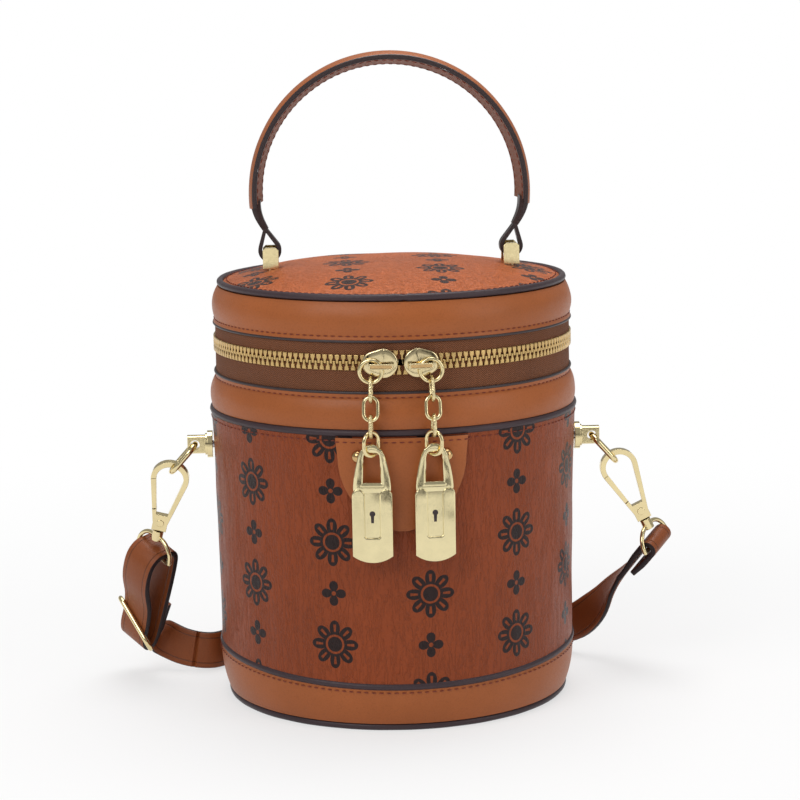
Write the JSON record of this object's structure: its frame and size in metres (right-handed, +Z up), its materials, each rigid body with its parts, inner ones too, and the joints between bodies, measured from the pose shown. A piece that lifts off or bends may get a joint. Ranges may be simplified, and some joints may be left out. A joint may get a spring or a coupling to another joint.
{
  "type": "barrel bag",
  "caption": "Round upright barrel bag with a zipped lid, arched top handle, hanging chain pulls and a clip-on shoulder strap.",
  "frame": {"origin": "Middle of the bag's round base, on the ground plane. The strap behind the bag and the clips at its sides reach past the base, so the box of the whole part is not centred on it.", "axes": "+Z up along the bag's axis, -Y out through the front with the zip pulls, +X to the right as seen from the front."},
  "size_m": [0.235, 0.2183, 0.2634],
  "materials": {
    "printed_leather": "grained and printed",
    "smooth_leather": "smooth, low sheen",
    "strap_leather": "smooth, creased along its edges",
    "piping": "smooth cord piping",
    "lining": "plain weave",
    "board": "pressed fibre board",
    "foam": "soft filler",
    "zip_tape": "herringbone weave",
    "zip_teeth": "polished",
    "gold_metal": "pale gold plating",
    "steel": "bright"
  },
  "bodies": {
    "bag": {"body_panel": "printed_leather", "body_lining": "lining", "base_panel": "smooth_leather", "base_board": "board", "base_band": "smooth_leather", "base_piping": "piping", "band_piping": "piping", "wall_piping": "piping", "lower_collar": "smooth_leather", "lower_zip_tape": "zip_tape", "lower_zip_teeth": "zip_teeth", "hinge_lower": "smooth_leather", "front_patch": "smooth_leather", "patch_rivets": "gold_metal", "lug_left": "gold_metal", "lug_right": "gold_metal", "lug_screws": "steel", "strap_back": "strap_leather"},
    "lid": {"lid_panel": "printed_leather", "lid_lining": "lining", "lid_piping": "piping", "upper_collar": "smooth_leather", "upper_zip_tape": "zip_tape", "upper_zip_teeth": "zip_teeth", "hinge_upper": "smooth_leather", "staple_left": "gold_metal", "staple_right": "gold_metal"},
    "handle": {"handle_strap": "smooth_leather", "handle_core": "foam", "handle_backing": "smooth_leather", "handle_tabs": "smooth_leather"},
    "slider_left": {"slider_left": "gold_metal"},
    "pull_ring_left": {"pull_ring_left": "gold_metal"},
    "link_1_left": {"link_1_left": "gold_metal"},
    "link_2_left": {"link_2_left": "gold_metal"},
    "link_3_left": {"link_3_left": "gold_metal"},
    "link_4_left": {"link_4_left": "gold_metal"},
    "padlock_left": {"padlock_left": "gold_metal"},
    "slider_right": {"slider_right": "gold_metal"},
    "pull_ring_right": {"pull_ring_right": "gold_metal"},
    "link_1_right": {"link_1_right": "gold_metal"},
    "link_2_right": {"link_2_right": "gold_metal"},
    "link_3_right": {"link_3_right": "gold_metal"},
    "link_4_right": {"link_4_right": "gold_metal"},
    "padlock_right": {"padlock_right": "gold_metal"},
    "ring_left": {"ring_left": "gold_metal"},
    "hook_left": {"hook_left": "gold_metal"},
    "gate_left": {"gate_left": "gold_metal"},
    "eye_left": {"eye_left": "gold_metal"},
    "strap_end_left": {"strap_end_left": "strap_leather", "slide_adjuster": "gold_metal"},
    "ring_right": {"ring_right": "gold_metal"},
    "hook_right": {"hook_right": "gold_metal"},
    "gate_right": {"gate_right": "gold_metal"},
    "eye_right": {"eye_right": "gold_metal"},
    "strap_end_right": {"strap_end_right": "strap_leather"}
  },
  "joints": [
    {"name": "lid_hinge", "type": "hinge", "parent": "bag", "child": "lid", "pos_m": [0, 0.07375, 0.1467], "axis": [-1, 0, 0], "range_deg": [0, 115]},
    {"name": "handle_tilt", "type": "hinge", "parent": "lid", "child": "handle", "pos_m": [0, 0, 0.18203], "axis": [1, 0, 0], "range_deg": [-4, 4]},
    {"name": "slider_travel_left", "type": "hinge", "parent": "bag", "child": "slider_left", "pos_m": [0, 0, 0.1467], "axis": [0, 0, 1], "range_deg": [-62, 0], "deforming": ["lower_zip_teeth", "upper_zip_teeth"]},
    {"name": "pull_ring_swing_left", "type": "hinge", "parent": "slider_left", "child": "pull_ring_left", "pos_m": [-0.00732, -0.07605, 0.14385], "axis": [0, 0, 1], "range_deg": [0, 24]},
    {"name": "link_1_swing_left", "type": "hinge", "parent": "pull_ring_left", "child": "link_1_left", "pos_m": [-0.0116, -0.07559, 0.13955], "axis": [-0.9943, 0.1063, 0], "range_deg": [0, 60]},
    {"name": "link_2_sway_left", "type": "hinge", "parent": "link_1_left", "child": "link_2_left", "pos_m": [-0.01188, -0.07827, 0.13255], "axis": [0.1063, 0.9943, 0], "range_deg": [-4, 35]},
    {"name": "link_3_swing_left", "type": "hinge", "parent": "link_2_left", "child": "link_3_left", "pos_m": [-0.01202, -0.0795, 0.12551], "axis": [-0.9943, 0.1063, 0], "range_deg": [0, 40]},
    {"name": "link_4_sway_left", "type": "hinge", "parent": "link_3_left", "child": "link_4_left", "pos_m": [-0.01202, -0.0795, 0.11916], "axis": [0.1063, 0.9943, 0], "range_deg": [-3, 3]},
    {"name": "padlock_swing_left", "type": "hinge", "parent": "link_4_left", "child": "padlock_left", "pos_m": [-0.01202, -0.0795, 0.11171], "axis": [-0.9943, 0.1063, 0], "range_deg": [0, 9]},
    {"name": "slider_travel_right", "type": "hinge", "parent": "bag", "child": "slider_right", "pos_m": [0, 0, 0.1467], "axis": [0, 0, 1], "range_deg": [0, 62]},
    {"name": "pull_ring_swing_right", "type": "hinge", "parent": "slider_right", "child": "pull_ring_right", "pos_m": [0.00732, -0.07605, 0.14385], "axis": [0, 0, 1], "range_deg": [-24, 0]},
    {"name": "link_1_swing_right", "type": "hinge", "parent": "pull_ring_right", "child": "link_1_right", "pos_m": [0.0116, -0.07559, 0.13955], "axis": [-0.9943, -0.1063, 0], "range_deg": [0, 60]},
    {"name": "link_2_sway_right", "type": "hinge", "parent": "link_1_right", "child": "link_2_right", "pos_m": [0.01188, -0.07827, 0.13255], "axis": [-0.1063, 0.9943, 0], "range_deg": [-35, 4]},
    {"name": "link_3_swing_right", "type": "hinge", "parent": "link_2_right", "child": "link_3_right", "pos_m": [0.01202, -0.0795, 0.12551], "axis": [-0.9943, -0.1063, 0], "range_deg": [0, 40]},
    {"name": "link_4_sway_right", "type": "hinge", "parent": "link_3_right", "child": "link_4_right", "pos_m": [0.01202, -0.0795, 0.11916], "axis": [-0.1063, 0.9943, 0], "range_deg": [-3, 3]},
    {"name": "padlock_swing_right", "type": "hinge", "parent": "link_4_right", "child": "padlock_right", "pos_m": [0.01202, -0.0795, 0.11171], "axis": [-0.9943, -0.1063, 0], "range_deg": [0, 9]},
    {"name": "ring_swing_left", "type": "hinge", "parent": "bag", "child": "ring_left", "pos_m": [-0.08213, 0, 0.1038], "axis": [0, 1, 0], "range_deg": [-2.5, 35]},
    {"name": "hook_swing_left", "type": "hinge", "parent": "ring_left", "child": "hook_left", "pos_m": [-0.09216, 0, 0.09265], "axis": [0.0761, 0.95, 0.3029], "range_deg": [-7, 25]},
    {"name": "gate_press_left", "type": "hinge", "parent": "hook_left", "child": "gate_left", "pos_m": [-0.09794, 0.00562, 0.07649], "axis": [0.0761, 0.95, 0.3029], "range_deg": [0, 24], "stiffness_Nm_per_rad": 0.004, "springref_deg": -20.05},
    {"name": "eye_swivel_left", "type": "hinge", "parent": "hook_left", "child": "eye_left", "pos_m": [-0.09789, 0.00773, 0.06985], "axis": [0.2314, -0.3123, 0.9214], "range_deg": [-25, 25]},
    {"name": "strap_fold_left", "type": "hinge", "parent": "eye_left", "child": "strap_end_left", "pos_m": [-0.10137, 0.01243, 0.05599], "axis": [0.6448, -0.6599, -0.3857], "range_deg": [-12, 6]},
    {"name": "ring_swing_right", "type": "hinge", "parent": "bag", "child": "ring_right", "pos_m": [0.08213, 0, 0.1038], "axis": [0, -1, 0], "range_deg": [-2.5, 35]},
    {"name": "hook_swing_right", "type": "hinge", "parent": "ring_right", "child": "hook_right", "pos_m": [0.09216, 0, 0.09265], "axis": [0.042, -0.9954, -0.0861], "range_deg": [-15, 25]},
    {"name": "gate_press_right", "type": "hinge", "parent": "hook_right", "child": "gate_right", "pos_m": [0.09851, 0.00172, 0.07583], "axis": [-0.042, 0.9954, 0.0861], "range_deg": [0, 24], "stiffness_Nm_per_rad": 0.004, "springref_deg": -20.05},
    {"name": "eye_swivel_right", "type": "hinge", "parent": "hook_right", "child": "eye_right", "pos_m": [0.10296, 0.00237, 0.07051], "axis": [-0.4363, -0.0958, 0.8947], "range_deg": [-25, 25]},
    {"name": "strap_fold_right", "type": "hinge", "parent": "eye_right", "child": "strap_end_right", "pos_m": [0.10952, 0.00381, 0.05706], "axis": [0.5455, 0.7625, 0.3478], "range_deg": [-12, 12]}
  ]
}
